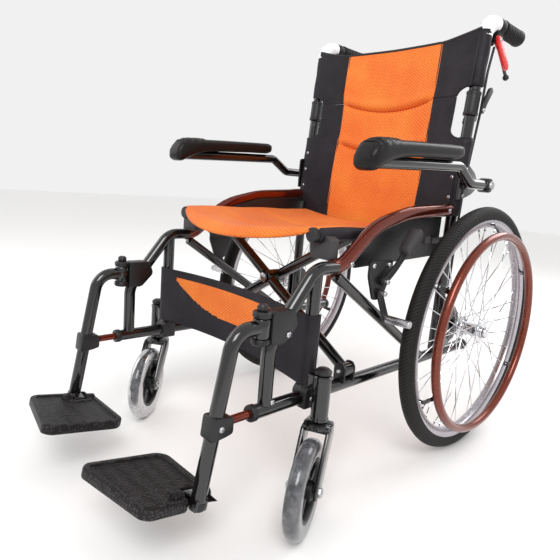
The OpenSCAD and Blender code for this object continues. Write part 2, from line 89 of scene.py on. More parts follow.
def addLight(name, place, size, power):
    data = bpy.data.lights.new(name, "AREA")
    data.size = size
    data.energy = power
    light = bpy.data.objects.new(name, data)
    aim = (Vector((0, 0, 0.45)) - Vector(place)).to_track_quat("-Z", "Y")
    light.matrix_world = Matrix.Translation(place) @ aim.to_matrix().to_4x4()
    bpy.context.scene.collection.objects.link(light)


addLight("key light", (1.6, -1.7, 2.4), 1.4, lighting["key"])
addLight("fill light", (-2.2, -1.4, 1.6), 1.8, lighting["fill"])
addLight("back light", (0.6, 2.4, 2.2), 1.6, lighting["back"])


# Materials
def linearColour(hexColour):
    parts = [int(hexColour[i:i + 2], 16) / 255 for i in (1, 3, 5)]
    return [p / 12.92 if p <= 0.04045 else ((p + 0.055) / 1.055) ** 2.4 for p in parts] + [1]


def addNode(tree, kind, settings=None, links=None):
    # Adds a node, sets its properties or sockets, and links its inputs
    node = tree.nodes.new(kind)
    for key, value in (settings or {}).items():
        if isinstance(key, str) and hasattr(node, key):
            setattr(node, key, value)
        else:
            node.inputs[key].default_value = value
    for key, source in (links or {}).items():
        tree.links.new(source, node.inputs[key])
    return node


def newMaterial(name, **settings):
    material = bpy.data.materials.new(name)
    material.use_nodes = True
    shader = material.node_tree.nodes["Principled BSDF"]
    for key, value in settings.items():
        shader.inputs[key.replace("_", " ")].default_value = value
    return material, material.node_tree, shader


def paletteRamp(tree, factor, stops):
    ramp = addNode(tree, "ShaderNodeValToRGB", {}, {0: factor})
    for element, (position, hexColour) in zip(ramp.color_ramp.elements, stops):
        element.position = position
        element.color = linearColour(hexColour)
    return ramp.outputs["Color"]


def finish(name, colours, scale, roughness, bump, detail=3, **settings):
    # A material whose colour, roughness and surface vary with one noise pattern
    material, tree, shader = newMaterial(name, **settings)
    place = addNode(tree, "ShaderNodeTexCoord")
    noise = addNode(tree, "ShaderNodeTexNoise", {"Scale": scale, "Detail": detail},
            {"Vector": place.outputs["Object"]})
    tree.links.new(paletteRamp(tree, noise.outputs["Fac"], [(0.3, colours[0]), (0.7, colours[1])]),
            shader.inputs["Base Color"])
    rough = addNode(tree, "ShaderNodeMapRange", {"To Min": roughness[0], "To Max": roughness[1]},
            {"Value": noise.outputs["Fac"]})
    tree.links.new(rough.outputs["Result"], shader.inputs["Roughness"])
    if bump:
        relief = addNode(tree, "ShaderNodeBump", {"Strength": bump[0], "Distance": bump[1]},
                {"Height": noise.outputs["Fac"]})
        tree.links.new(relief.outputs["Normal"], shader.inputs["Normal"])
    return material


# Glossy powder coat with a slight orange peel
blackPaint = finish("black powder coat", ("#080607", "#0D0A0B"), 420, (0.1, 0.17), (0.05, 0.0003),
        Coat_Weight=0.5, Coat_Roughness=0.08)
# Metallic copper-brown lacquer
copperPaint = finish("copper lacquer", ("#581808", "#7A280E"), 300, (0.12, 0.2), (0.05, 0.0003),
        Metallic=0.75, Coat_Weight=0.5, Coat_Roughness=0.07)
# Copper-brown lacquer of the handrims
rimPaint = finish("brown handrim lacquer", ("#5C1E0C", "#803014"), 300, (0.2, 0.3), (0.05, 0.0003),
        Metallic=0.6, Coat_Weight=0.5, Coat_Roughness=0.06)
# Moulded nylon, satin from the fine texture of its mould
blackPlastic = finish("black satin plastic", ("#0D0B0D", "#151315"), 260, (0.36, 0.5), (0.12, 0.0004))
# Moulded polypropylene, matt and lightly grained
greyPlastic = finish("dark grey plastic", ("#2C292B", "#3A3638"), 500, (0.45, 0.62), (0.3, 0.0006))
# Moulded rubber, nearly matt
gripRubber = finish("black grip rubber", ("#100E0F", "#191617"), 350, (0.5, 0.65), (0.15, 0.0004),
        Specular_IOR_Level=0.2)
# Moulded polyurethane foam, whose skin has a soft shine
padVinyl = finish("moulded armrest foam", ("#0F0C0D", "#181514"), 520, (0.3, 0.42), (0.3, 0.0005),
        Specular_IOR_Level=0.22)
# Zinc plating, bright but not a mirror
zincSteel = finish("zinc plated steel", ("#A9A9AC", "#C4C4C8"), 180, (0.2, 0.34), (0.05, 0.0002),
        Metallic=1)
# Chrome plating, close to a mirror
chromeSteel = finish("chrome", ("#C9C9CD", "#DDDDE0"), 120, (0.06, 0.12), None, Metallic=1)
# Anodised aluminium, satin, so that lights blur in it
rimAlloy = finish("satin aluminium rim", ("#A7A3A9", "#BDB9BF"), 200, (0.26, 0.38), (0.05, 0.0002),
        Metallic=1)
# Moulded red plastic with an even, low shine
redPlastic = finish("red moulded plastic", ("#C21A16", "#D4241E"), 200, (0.25, 0.35), (0.05, 0.0002))
# Thin white film, wrinkled, so that its shine breaks up
whiteWrap = finish("protective plastic wrap", ("#D8D8DC", "#F2F2F4"), 160, (0.18, 0.4), (0.6, 0.002))
# Woven tape, matt
bindingTape = finish("woven binding tape", ("#171418", "#232025"), 700, (0.6, 0.8), (0.3, 0.0004))
# Matt floor of one plain colour
floorPaint = finish("studio floor", (lighting["floor"], lighting["floor"]), 4, (0.55, 0.6), None)

# Clear grey polyurethane of the caster tyres
casterTread = finish("clear grey polyurethane", ("#434347", "#828388"), 90, (0.12, 0.22), (0.1, 0.0006),
        Transmission_Weight=0.45, IOR=1.5, Coat_Weight=0.4)


def tyreMaterial():
    # Rubber with close diagonal grooves, laid out on the tyre's own UV map in metres
    material, tree, shader = newMaterial("tyre rubber", Roughness=0.62, Specular_IOR_Level=0.2)
    uv = addNode(tree, "ShaderNodeUVMap", {"uv_map": "UVMap"})
    turned = addNode(tree, "ShaderNodeMapping", {"Rotation": (0, 0, math.radians(32))},
            {"Vector": uv.outputs["UV"]})
    wave = addNode(tree, "ShaderNodeTexWave", {"Scale": 60, "Distortion": 0.0},
            {"Vector": turned.outputs["Vector"]})
    # The grooves are painted darker than the ribs between them, as painted shade in the grooves
    colour = paletteRamp(tree, wave.outputs["Fac"], [(0.2, "#121010"), (0.75, "#211F1E")])
    tree.links.new(colour, shader.inputs["Base Color"])
    relief = addNode(tree, "ShaderNodeBump", {"Strength": 0.6, "Distance": 0.0010},
            {"Height": wave.outputs["Fac"]})
    tree.links.new(relief.outputs["Normal"], shader.inputs["Normal"])
    return material


def meshMaterial():
    # Spacer mesh: bright yarn round small cells darkened with painted shade in the holes, about 5 mm apart,
    # wider than the real 2.5 mm so that it reads
    material, tree, shader = newMaterial("orange spacer mesh", Roughness=0.72, Sheen_Weight=0.05)
    uv = addNode(tree, "ShaderNodeUVMap", {"uv_map": "UVMap"})
    turned = addNode(tree, "ShaderNodeMapping", {"Rotation": (0, 0, math.radians(45)),
            "Scale": (1, 1.25, 1)}, {"Vector": uv.outputs["UV"]})
    cells = addNode(tree, "ShaderNodeTexVoronoi", {"Scale": 190, "Randomness": 0.1},
            {"Vector": turned.outputs["Vector"]})
    broad = addNode(tree, "ShaderNodeTexNoise", {"Scale": 9, "Detail": 3}, {"Vector": uv.outputs["UV"]})
    # The cells are painted dark as shade in the mesh's holes; the yarn between them keeps its own orange
    yarnAndHoleShade = paletteRamp(tree, cells.outputs["Distance"], [(0.08, "#9C400A"), (0.34, "#F08426")])
    shade = paletteRamp(tree, broad.outputs["Fac"], [(0.3, "#F2CDB6"), (0.7, "#FFFFFF")])
    mixed = addNode(tree, "ShaderNodeMix", {"data_type": "RGBA", "blend_type": "MULTIPLY", 0: 1.0})
    tree.links.new(yarnAndHoleShade, mixed.inputs[6])
    tree.links.new(shade, mixed.inputs[7])
    tree.links.new(mixed.outputs[2], shader.inputs["Base Color"])
    relief = addNode(tree, "ShaderNodeBump", {"Strength": 0.55, "Distance": 0.0012},
            {"Height": cells.outputs["Distance"]})
    tree.links.new(relief.outputs["Normal"], shader.inputs["Normal"])
    return material


def nylonMaterial():
    # Coated nylon with soft creases and a rib about 2 mm apart, coarser than real so that it shows
    material, tree, shader = newMaterial("charcoal nylon", Roughness=0.5, Specular_IOR_Level=0.2)
    uv = addNode(tree, "ShaderNodeUVMap", {"uv_map": "UVMap"})
    rib = addNode(tree, "ShaderNodeTexWave", {"Scale": 160, "Distortion": 0.4},
            {"Vector": uv.outputs["UV"]})
    crease = addNode(tree, "ShaderNodeTexNoise", {"Scale": 22, "Detail": 4}, {"Vector": uv.outputs["UV"]})
    # Darker where the creases dip, as painted shade in the creases
    colour = paletteRamp(tree, crease.outputs["Fac"], [(0.3, "#1A171C"), (0.7, "#262228")])
    tree.links.new(colour, shader.inputs["Base Color"])
    fine = addNode(tree, "ShaderNodeBump", {"Strength": 0.25, "Distance": 0.0004},
            {"Height": rib.outputs["Fac"]})
    soft = addNode(tree, "ShaderNodeBump", {"Strength": 0.5, "Distance": 0.004},
            {"Height": crease.outputs["Fac"], "Normal": fine.outputs["Normal"]})
    tree.links.new(soft.outputs["Normal"], shader.inputs["Normal"])
    return material


def pebbleMaterial():
    # Hard plastic with raised round pebbles about 5 mm apart, to stop shoes from slipping
    material, tree, shader = newMaterial("pebbled footplate plastic", Roughness=0.42,
            Specular_IOR_Level=0.22)
    place = addNode(tree, "ShaderNodeTexCoord")
    cells = addNode(tree, "ShaderNodeTexVoronoi", {"Scale": 210, "Randomness": 0.45},
            {"Vector": place.outputs["Object"]})
    # Pebble tops are painted lighter and the gaps between them darker: painted highlight on the pebbles and
    # painted shade between them
    colour = paletteRamp(tree, cells.outputs["Distance"], [(0.1, "#3E3A3C"), (0.5, "#141213")])
    tree.links.new(colour, shader.inputs["Base Color"])
    relief = addNode(tree, "ShaderNodeBump", {"Strength": 0.9, "Distance": 0.0018},
            {"Height": cells.outputs["Distance"]})
    relief.invert = True
    tree.links.new(relief.outputs["Normal"], shader.inputs["Normal"])
    return material


pebblePlastic = pebbleMaterial()
tyreRubber = tyreMaterial()
orangeMesh = meshMaterial()
charcoalNylon = nylonMaterial()
print("materials made")


# Shape helpers, in mm on the left side
def roundedPath(points, radii):
    # The points of a bent line, with an arc at each inner corner
    points = [Vector(p) for p in points]
    line = [points[0]]
    for i in range(1, len(points) - 1):
        a = (points[i] - points[i - 1]).normalized()
        b = (points[i + 1] - points[i]).normalized()
        angle = a.angle(b)
        if angle < 0.01 or radii[i] <= 0:
            line.append(points[i])
            continue
        reach = radii[i] * math.tan(angle / 2)
        start = points[i] - a * reach
        inward = (b - a * a.dot(b)).normalized()
        centre = start + inward * radii[i]
        steps = max(3, int(math.degrees(angle) / 7) + 1)
        for k in range(steps + 1):
            t = angle * k / steps
            line.append(centre - inward * radii[i] * math.cos(t) + a * radii[i] * math.sin(t))
    line.append(points[-1])
    return line


def ringOf(width, height, count=20):
    # A round section, or a flat oval when the two sizes differ
    radius = min(width, height) / 2
    ring = []
    for k in range(count):
        t = 2 * math.pi * (k + 0.5) / count
        u, v = radius * math.cos(t), radius * math.sin(t)
        ring.append((u + math.copysign((width - 2 * radius) / 2, u),
                v + math.copysign((height - 2 * radius) / 2, v)))
    return ring


def sweep(bm, path, section, across=(1, 0, 0), sizes=None, material=0):
    # Carries a section along a path and closes both ends with a small dome
    across = Vector(across)
    rings = []
    count = len(path)
    for i, p in enumerate(path):
        before, after = path[max(i - 1, 0)], path[min(i + 1, count - 1)]
        tangent = (after - before).normalized()
        side = (across - tangent * across.dot(tangent)).normalized()
        up = tangent.cross(side)
        k = sizes[i] if sizes else 1
        rings.append([p + side * u * k + up * v * k for u, v in section])
    for end, step in ((0, 1), (-1, -2)):
        tangent = (path[end] - path[step]).normalized()
        middle = path[end] + tangent * 1.5
        cap = [middle + (q - path[end]) * 0.72 for q in rings[end]]
        rings.insert(0, cap) if end == 0 else rings.append(cap)
    made = [[bm.verts.new(q) for q in ring] for ring in rings]
    for a, b in zip(made, made[1:]):
        for k in range(len(section)):
            j = (k + 1) % len(section)
            bm.faces.new((a[k], a[j], b[j], b[k])).material_index = material
    for ring in (made[0], made[-1]):
        bm.faces.new(ring).material_index = material


def tube(bm, points, radii, diameter, height=None, count=20, material=0):
    sweep(bm, roundedPath(points, radii), ringOf(diameter, height or diameter, count), material=material)


def rod(bm, start, end, diameter, count=12, material=0):
    start, end = Vector(start), Vector(end)
    across = Vector((1, 0, 0)) if abs((end - start).normalized().x) < 0.9 else Vector((0, 1, 0))
    sweep(bm, [start, end], ringOf(diameter, diameter, count), across, material=material)


def lathe(bm, profile, centre, axis, steps=48, material=0, ribs=None):
    # Turns a profile of (radius, distance along the axis) about the axis, with a UV map in metres
    centre, axis = Vector(centre), Vector(axis).normalized()
    first = axis.orthogonal().normalized()
    second = axis.cross(first)
    uvLayer = bm.loops.layers.uv.get("UVMap") or bm.loops.layers.uv.new("UVMap")
    rows = []
    for radius, along in profile:
        if radius < 1e-6:
            rows.append([bm.verts.new(centre + axis * along)])
            continue
        row = []
        for k in range(steps):
            t = 2 * math.pi * k / steps
            r = radius + (ribs(t, radius) if ribs else 0)
            row.append(bm.verts.new(centre + axis * along + (first * math.cos(t) + second * math.sin(t)) * r))
        rows.append(row)
    length = 0
    for i in range(len(rows) - 1):
        a, b = rows[i], rows[i + 1]
        step = math.dist(profile[i], profile[i + 1])
        for k in range(steps):
            j = (k + 1) % steps
            corners = [(a[k % len(a)], k, 0), (a[j % len(a)], k + 1, 0), (b[j % len(b)], k + 1, 1),
                    (b[k % len(b)], k, 1)]
            seen, kept = set(), []
            for c in corners:
                if c[0] not in seen:
                    seen.add(c[0])
                    kept.append(c)
            if len(kept) < 3:
                continue
            face = bm.faces.new([c[0] for c in kept])
            face.material_index = material
            for loop, c in zip(face.loops, kept):
                radius = max(profile[0][0], profile[-1][0], 20)
                loop[uvLayer].uv = (2 * math.pi * c[1] / steps * radius / 1000,
                        (length + c[2] * step) / 1000)
        length += step


def ringTube(bm, centre, axis, radius, width, height=None, steps=96, sides=16, material=0):
    height = height or width
    profile = [(radius + height / 2 * math.cos(2 * math.pi * k / sides),
            width / 2 * math.sin(2 * math.pi * k / sides)) for k in range(sides + 1)]
    lathe(bm, profile, centre, axis, steps, material)


def roundedOutline(points, radius, steps=5):
    # A closed outline with each corner rounded
    count = len(points)
    out = []
    for i in range(count):
        p, a, b = Vector(points[i]), Vector(points[i - 1]), Vector(points[(i + 1) % count])
        toA, toB = (a - p).normalized(), (b - p).normalized()
        reach = min(radius, (a - p).length * 0.45, (b - p).length * 0.45)
        for k in range(steps + 1):
            t = k / steps
            out.append((p + toA * reach * (1 - t) ** 2 + toB * reach * t ** 2))
    return out


def plate(bm, points, corner, low, high, plane="yz", bevel=1.2, material=0):
    # A flat plate with rounded corners and softened edges. The plane names the outline's two axes
    order = {"yz": lambda p, h: (h, p[0], p[1]), "xz": lambda p, h: (p[0], h, p[1]),
            "xy": lambda p, h: (p[0], p[1], h)}[plane]
    part = bmesh.new()
    face = part.faces.new([part.verts.new(order(p, low)) for p in roundedOutline(points, corner)])
    grown = bmesh.ops.extrude_face_region(part, geom=[face])
    shift = Vector(order((0, 0), high)) - Vector(order((0, 0), low))
    moved = [v for v in grown["geom"] if isinstance(v, bmesh.types.BMVert)]
    bmesh.ops.translate(part, vec=shift, verts=moved)
    bmesh.ops.recalc_face_normals(part, faces=part.faces)
    sharp = [e for e in part.edges if e.calc_face_angle(0) > 0.7]
    if bevel:
        bmesh.ops.bevel(part, geom=sharp, offset=bevel, offset_type="OFFSET", segments=2, profile=0.5,
                affect="EDGES", clamp_overlap=True, material=-1)
    for f in part.faces:
        f.material_index = material
    joinInto(bm, part)


def joinInto(bm, part):
    mesh = bpy.data.meshes.new("part")
    part.to_mesh(mesh)
    bm.from_mesh(mesh)
    bpy.data.meshes.remove(mesh)
    part.free()


def bolt(bm, centre, axis, diameter, material=0):
    # A domed socket-head bolt, standing out along the axis
    r = diameter / 2
    lathe(bm, [(r, -1), (r, r * 0.25), (r * 0.8, r * 0.55), (r * 0.45, r * 0.68), (r * 0.4, r * 0.3),
            (0, r * 0.3)], centre, axis, 14, material)


def addPiece(name, bm, materials, body, nodes=(), side=1, smooth=40, clean=0.01):
    # Turns a mesh in mm, drawn for the left side, into a piece in metres on its own side
    bmesh.ops.remove_doubles(bm, verts=bm.verts, dist=clean)
    for v in bm.verts:
        v.co = Vector((side * v.co.x / 1000, v.co.y / 1000 + axleY, v.co.z / 1000))
    bmesh.ops.recalc_face_normals(bm, faces=bm.faces)
    mesh = bpy.data.meshes.new(name)
    bm.to_mesh(mesh)
    bm.free()
    for m in materials:
        mesh.materials.append(m)
    mesh.shade_smooth()
    mesh.set_sharp_from_angle(angle=math.radians(smooth))
    piece = bpy.data.objects.new(name, mesh)
    bpy.context.scene.collection.objects.link(piece)
    if body:
        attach(piece, body)
    if nodes:
        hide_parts(*nodes)
    return piece


def sidePiece(side, g, name, bm, materials, body, **settings):
    # A piece on one side, which stands for the CAD part of the same name
    return addPiece(side + "_" + name, bm, materials, side + "_" + body, [side + "_" + name], g, **settings)


sides = [("left", 1), ("right", -1)]
frameX = 208
axleZ = 254
lowRailZ = 192
stemX, stemY = 242, -438
leanTan = math.tan(math.radians(4.8))


def postY(z):
    return -44 + max(0, z - 480) * leanTan


# Side frames
sideFrame = {"tube": 22, "arch": (18, 25), "strut": 19, "bolt": 9}
for side, g in sides:
    bm = bmesh.new()
    tube(bm, [(frameX, -548, lowRailZ), (frameX, 85, lowRailZ)], [0, 0], sideFrame["tube"], count=28)
    rod(bm, (frameX, -588, lowRailZ), (frameX, -548, lowRailZ), 13, 20, material=1)
    lathe(bm, [(0, -6), (11.8, -6), (12.8, -4), (12.8, 3), (11, 4)], (frameX, -549, lowRailZ), (0, 1, 0),
            28, 2)
    lathe(bm, [(9, 0), (12.4, 0.4), (12.4, -8), (11, -8)], (frameX, 86, lowRailZ), (0, 1, 0), 28, 2)
    lathe(bm, [(0, -3), (9, -3), (9, 0)], (frameX, 86, lowRailZ), (0, 1, 0), 28, 2)
    sidePiece(side, g, "lower_rail", bm, [blackPaint, copperPaint, blackPlastic], "frame")

    bm = bmesh.new()
    tube(bm, [(frameX, -525, 200), (frameX, -525, 290), (frameX, -440, 397), (frameX, -394, 397)],
            [0, 40, 40, 0], sideFrame["tube"], count=28)
    # The plastic bracket that the hanger swings in
    plate(bm, [(-533, 294), (-506, 291), (-479, 318), (-489, 343), (-533, 343)], 8, 195, 221, material=1,
            bevel=3)
    lathe(bm, [(0, 0), (13, 0), (14, 2), (14, 7), (12, 9), (0, 9)], (frameX, -543, 335), (0, 0, 1), 24, 1)
    lathe(bm, [(0, 0), (12, 0), (14, 2), (14, 7), (13, 9), (0, 9)], (frameX, -543, 295), (0, 0, 1), 24, 1)
    rod(bm, (frameX, -543, 297), (frameX, -543, 342), 7, 16, material=2)
    lathe(bm, [(0, 0), (7, 0), (8, 2), (8, 7), (5.5, 10), (0, 11)], (frameX, -543, 344), (0, 0, 1), 20, 1)
    bolt(bm, (221, -500, 306), (1, 0, 0), 10, material=2)
    sidePiece(side, g, "front_tube", bm, [blackPaint, blackPlastic, zincSteel], "frame")

    bm = bmesh.new()
    path = roundedPath([(frameX, -400, 397), (frameX, -380, 398), (frameX, -298, 464), (frameX, -200, 487),
            (frameX, -56, 496)], [0, 50, 160, 300, 0])
    sweep(bm, path, ringOf(sideFrame["arch"][0], sideFrame["arch"][1], 28))
    sidePiece(side, g, "arch_tube", bm, [copperPaint], "frame")

    bm = bmesh.new()
    tube(bm, [(frameX, stemY, 196), (frameX, stemY, 388)], [0, 0], sideFrame["tube"], count=28)
    lathe(bm, [(0, -1), (13, 0), (15, 2), (15, 5), (14, 6), (14, 68), (15, 69), (15, 72), (13, 74),
            (0, 75)], (stemX, stemY, 164), (0, 0, 1), 32)
    plate(bm, [(212, 207), (232, 207), (232, 235), (212, 235)], 3, -447, -429, "xz")
    lathe(bm, [(0, 0), (12.5, 0), (13.5, 2), (13.5, 5), (9, 9), (0, 10)], (stemX, stemY, 240), (0, 0, 1),
            28, 1)
    sidePiece(side, g, "front_post", bm, [blackPaint, blackPlastic], "frame")

    bm = bmesh.new()
    joint = (frameX, postY(679), 679)
    tube(bm, [(frameX, -44, 202), (frameX, -44, 480), joint], [0, 200, 0], sideFrame["tube"], count=28)
    plate(bm, [(-58, 206), (-30, 206), (10, 226), (22, 245), (22, 263), (10, 282), (-30, 318), (-58, 318)],
            8, 219, 225)
    lathe(bm, [(0, 0), (18, 0), (18, 6), (15, 8), (0, 8)], (frameX + 11, 0, axleZ), (1, 0, 0), 28)
    for z in (216, 306):
        bolt(bm, (225, -46, z), (1, 0, 0), 9, 1)
    # Armrest gusset
    plate(bm, [(-56, 584), (-30, 588), (4, 572), (16, 558), (14, 538), (-4, 528), (-56, 512)], 6, 217, 222)
    rod(bm, (222, -6, 549), (262, -6, 549), 9, 16, material=1)
    lathe(bm, [(0, 4), (8, 4), (9, 2), (9, 0), (0, 0)], (262, -6, 549), (1, 0, 0), 20, 1)
    for z in (524, 576):
        bolt(bm, (222, -44 + 6, z), (1, 0, 0), 9, 1)
    # Fixed half of the back hinge
    plate(bm, [(-40, 664), (-12, 668), (2, 672), (6, 680), (-4, 686), (-14, 680), (-36, 678)], 4, 199,
            203.5)
    rod(bm, (199, -5, 679), (209, -5, 679), 6, 14, material=1)
    sidePiece(side, g, "rear_post", bm, [blackPaint, zincSteel], "frame")

    bm = bmesh.new()
    tube(bm, [(frameX, -390, 383), (frameX, -94, 194)], [0, 0], sideFrame["strut"], count=24)
    sidePiece(side, g, "diagonal_strut", bm, [blackPaint], "frame")

    bm = bmesh.new()
    plate(bm, [(-338, 394), (-330, 390), (-66, 402), (-60, 410), (-60, 490), (-205, 481), (-300, 457),
            (-360, 410)], 10, 194, 196.5, bevel=0.8)
    sidePiece(side, g, "skirt_guard", bm, [blackPlastic], "frame")

    # Clamps, saddles, bolts and the axle
    bm = bmesh.new()
    plate(bm, [(-453, 176), (-423, 176), (-423, 204), (-429, 212), (-447, 212), (-453, 204)], 4, 193, 223,
            material=0, bevel=2.5)
    for y, z, out in ((-438, 192, 223), (-520, 205, 219), (-364, 402, 217), (-70, 494, 217)):
        bolt(bm, (out, y, z), (1, 0, 0), sideFrame["bolt"], 1)
    for y, low in ((-397, 408), (-114, 428)):
        plate(bm, [(164, low), (204, low), (204, 440), (192, 446), (190, 436), (178, 432), (166, 436),
                (164, 446), (161, 440)], 3, y - 11, y + 11, "xz", material=2, bevel=1.5)
    plate(bm, [(-104, 428), (-56, 428), (-56, 440), (-104, 440)], 2, 198, 206)
    brace = -341 if g > 0 else -319
    for y in (brace - 15, brace + 11):
        plate(bm, [(196, 196), (220, 196), (220, 222), (214, 230), (202, 230), (196, 222)], 4, y, y + 4,
                "xz")
    rod(bm, (frameX, brace - 17, 216), (frameX, brace + 17, 216), 8, 14, material=1)
    # Parking brake mount
    plate(bm, [(-324, 406), (-258, 406), (-258, 386), (-280, 338), (-306, 338), (-324, 380)], 6, 220, 225,
            bevel=1.2)
    for y, z in ((-314, 398), (-270, 398)):
        bolt(bm, (225, y, z), (1, 0, 0), 9, 1)
    for y, z in ((-292, 372), (-296, 352)):
        rod(bm, (225, y, z), (241, y, z), 6, 14, material=1)
        bolt(bm, (241, y, z), (1, 0, 0), 9, 1)
    # Rear axle and its nut
    rod(bm, (212, 0, axleZ), (296, 0, axleZ), 12, 24, material=1)
    lathe(bm, [(0, 0), (9, 0), (10, 1), (10, 6), (8, 7), (0, 7)], (205, 0, axleZ), (-1, 0, 0), 24, 1)
    lathe(bm, [(11, 0), (11, 3), (9, 6), (5, 7), (0, 7)], (293, 0, axleZ), (1, 0, 0), 28, 3)
    sidePiece(side, g, "frame_fittings", bm, [blackPlastic, zincSteel, greyPlastic, chromeSteel], "frame")
print("side frames made")

# Folding back and push handles
handle = {"z": 862, "end": 134, "tube": 22, "bend": 34}
for side, g in sides:
    bm = bmesh.new()
    low = (frameX, postY(690), 690)
    top = (frameX, postY(handle["z"]), handle["z"])
    tube(bm, [low, top, (frameX, handle["end"] - 2, handle["z"])], [0, handle["bend"], 0], handle["tube"],
            count=28)
    along = (Vector(top) - Vector(low)).normalized()
    lathe(bm, [(0, 0), (13.4, 0), (14.5, 1.5), (14.5, 6), (13.6, 7), (13.6, 40), (14.5, 41), (14.5, 45),
            (12.5, 47), (11, 47)], Vector((frameX, postY(681), 681)), along, 32, 1)
    plate(bm, [(-24, 684), (-4, 672), (3, 676), (2, 684), (-12, 694), (-24, 694)], 3, 204.5, 209)
    bolt(bm, (frameX, postY(712) + 13.5, 712), (0, 1, 0), 9, 2)
    # Clear wrap still on the tube ahead of the grip
    wrap = roundedPath([(frameX, postY(842), 842), top, (frameX, 24, handle["z"])], [0, handle["bend"], 0])
    sizes = [1 + 0.06 * math.sin(i * 2.1) + 0.05 * math.cos(i * 3.7) for i in range(len(wrap))]
    sweep(bm, wrap[1:], ringOf(30, 30, 20), sizes=sizes[1:], material=3)
    sidePiece(side, g, "back_cane", bm, [blackPaint, blackPlastic, zincSteel, whiteWrap], "back")

    bm = bmesh.new()
    profile = [(11.3, 50), (15, 50), (16.5, 52), (16.5, 56)]
    for k in range(8):
        y = 58 + k * 8.2
        profile += [(14.2, y), (14.2, y + 1.6), (15.8, y + 3), (15.8, y + 7)]
    profile += [(16.6, 128), (16.6, 132), (14.5, 135), (0, 136)]
    lathe(bm, profile, (frameX, 0, handle["z"]), (0, 1, 0), 32)
    lathe(bm, [(11.2, 24), (14.8, 24), (15.6, 26), (15.6, 46), (14.8, 48), (11.2, 48)],
            (frameX, 0, handle["z"]), (0, 1, 0), 32)
    for x in (198.5, 213.5):
        plate(bm, [(20, 854), (20, 830), (28, 824), (42, 828), (46, 842), (46, 854)], 5, x - 2, x + 4)
    bolt(bm, (217.5, 33, 836), (1, 0, 0), 9, 1)
    sidePiece(side, g, "push_grip", bm, [gripRubber, zincSteel], "back")

    bm = bmesh.new()
    lathe(bm, [(0, -4), (6.5, -4), (6.5, 4), (0, 4)], (frameX, 33, 836), (1, 0, 0), 20)
    path = roundedPath([(frameX, 33, 836), (frameX, 59, 821), (frameX, 104, 779)], [0, 50, 0])
    sweep(bm, path, ringOf(7, 10, 16), sizes=[1 - 0.25 * i / len(path) for i in range(len(path))])
    lathe(bm, [(6.5 * math.sin(math.pi * k / 10), -6.5 * math.cos(math.pi * k / 10)) for k in range(11)],
            (frameX, 105, 778), (1, 0, 0), 20)
    sidePiece(side, g, "hand_lever", bm, [blackPlastic], "hand_lever")

    bm = bmesh.new()
    plate(bm, [(8, 838), (12, 820), (54, 785), (68, 782), (73, 791), (64, 803), (30, 834)], 5, 219.5, 226.5,
            bevel=2)
    bolt(bm, (226.5, 18, 830), (1, 0, 0), 8, 1)
    sidePiece(side, g, "lock_lever", bm, [redPlastic, zincSteel], "lock_lever")

    bm = bmesh.new()
    plate(bm, [(-25, 688), (-14, 685), (-4, 706), (14, 732), (8, 740), (-2, 736), (-18, 708)], 4, 224, 230,
            bevel=2)
    bolt(bm, (230, -18, 692), (1, 0, 0), 8, 1)
    sidePiece(side, g, "latch_lever", bm, [blackPlastic, zincSteel], "latch_lever")

    # The cable bends at the back joint, so it isn't tied to one body
    bm = bmesh.new()
    tube(bm, [(214, 20, 818), (214, 8, 770), (214, 2, 690), (214, -20, 560), (214, -25, 470),
            (214, -25, 330)], [0, 60, 60, 150, 80, 0], 5, count=10)
    lathe(bm, [(0, -14), (3.6, -14), (3.6, 0), (2.6, 4), (0, 5)], (214, -25, 340), (0, 0, -1), 14, 1)
    cable = addPiece(side + "_brake_cable", bm, [blackPlastic, chromeSteel], None, [side + "_brake_cable"],
            g)
    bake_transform(cable)
print("handles made")

# Armrests
armrest = {"x": 250, "tube": 20, "ribs": 7}
for side, g in sides:
    bm = bmesh.new()
    x = armrest["x"]
    tube(bm, [(x, -6, 549), (x, -74, 549), (x, -122, 577), (x, -387, 563)], [0, 28, 28, 0], armrest["tube"],
            count=28)
    lathe(bm, [(4.6, -11), (13, -11), (14, -9), (14, 9), (13, 11), (4.6, 11)], (x, -6, 549), (1, 0, 0), 28,
            1)
    sidePiece(side, g, "armrest_tube", bm, [blackPaint, blackPlastic], "arm")

    # Pad sections from back to front: Y, middle height, thickness, width
    sections = [(-142, 600, 10, 26), (-145, 600, 19, 36), (-153, 599.5, 24, 41), (-200, 597, 24, 41.5),
            (-290, 591, 25, 42), (-334, 587, 27, 43), (-359, 583, 33, 44), (-381, 577, 41, 45),
            (-395, 571, 43, 44), (-403, 567, 36, 42), (-409, 564, 24, 36), (-411, 562, 10, 24)]
    bm = bmesh.new()
    rows = []
    for here, there in zip(sections, sections[1:]):
        steps = 3 if here[0] > -345 else 4
        for k in range(steps):
            rows.append([a + (b - a) * k / steps for a, b in zip(here, there)])
    rows.append(list(sections[-1]))
    made = []
    for y, z, thick, width in rows:
        ribHeight = 1.4 * math.sin((y + 334) / 9 * math.pi) if -400 < y < -334 else 0
        ring = []
        for k in range(28):
            t = 2 * math.pi * k / 28
            c, s = math.cos(t), math.sin(t)
            u = width / 2 * math.copysign(abs(c) ** 0.55, c)
            v = thick / 2 * math.copysign(abs(s) ** 0.6, s) + (ribHeight if s > 0.2 else 0)
            ring.append(bm.verts.new((x + 1.2 + u, y, z + v)))
        made.append(ring)
    for a, b in zip(made, made[1:]):
        for k in range(28):
            bm.faces.new((a[k], a[(k + 1) % 28], b[(k + 1) % 28], b[k]))
    bm.faces.new(made[0])
    bm.faces.new(made[-1])
    for k in range(armrest["ribs"]):
        # Moulded finger ribs across the front
        y = -341 - k * 9
        row = min(rows, key=lambda r: abs(r[0] - y))
        z = row[1] + row[2] / 2 - 0.4
        path = [Vector((x + 1.2 + u, y, z - 9 * (abs(u) / 20) ** 3)) for u in range(-18, 19, 2)]
        sweep(bm, path, ringOf(5.2, 5.2, 10), across=(0, 1, 0))
    pad = sidePiece(side, g, "armrest_pad", bm, [padVinyl], "arm", smooth=70)
print("armrests made")

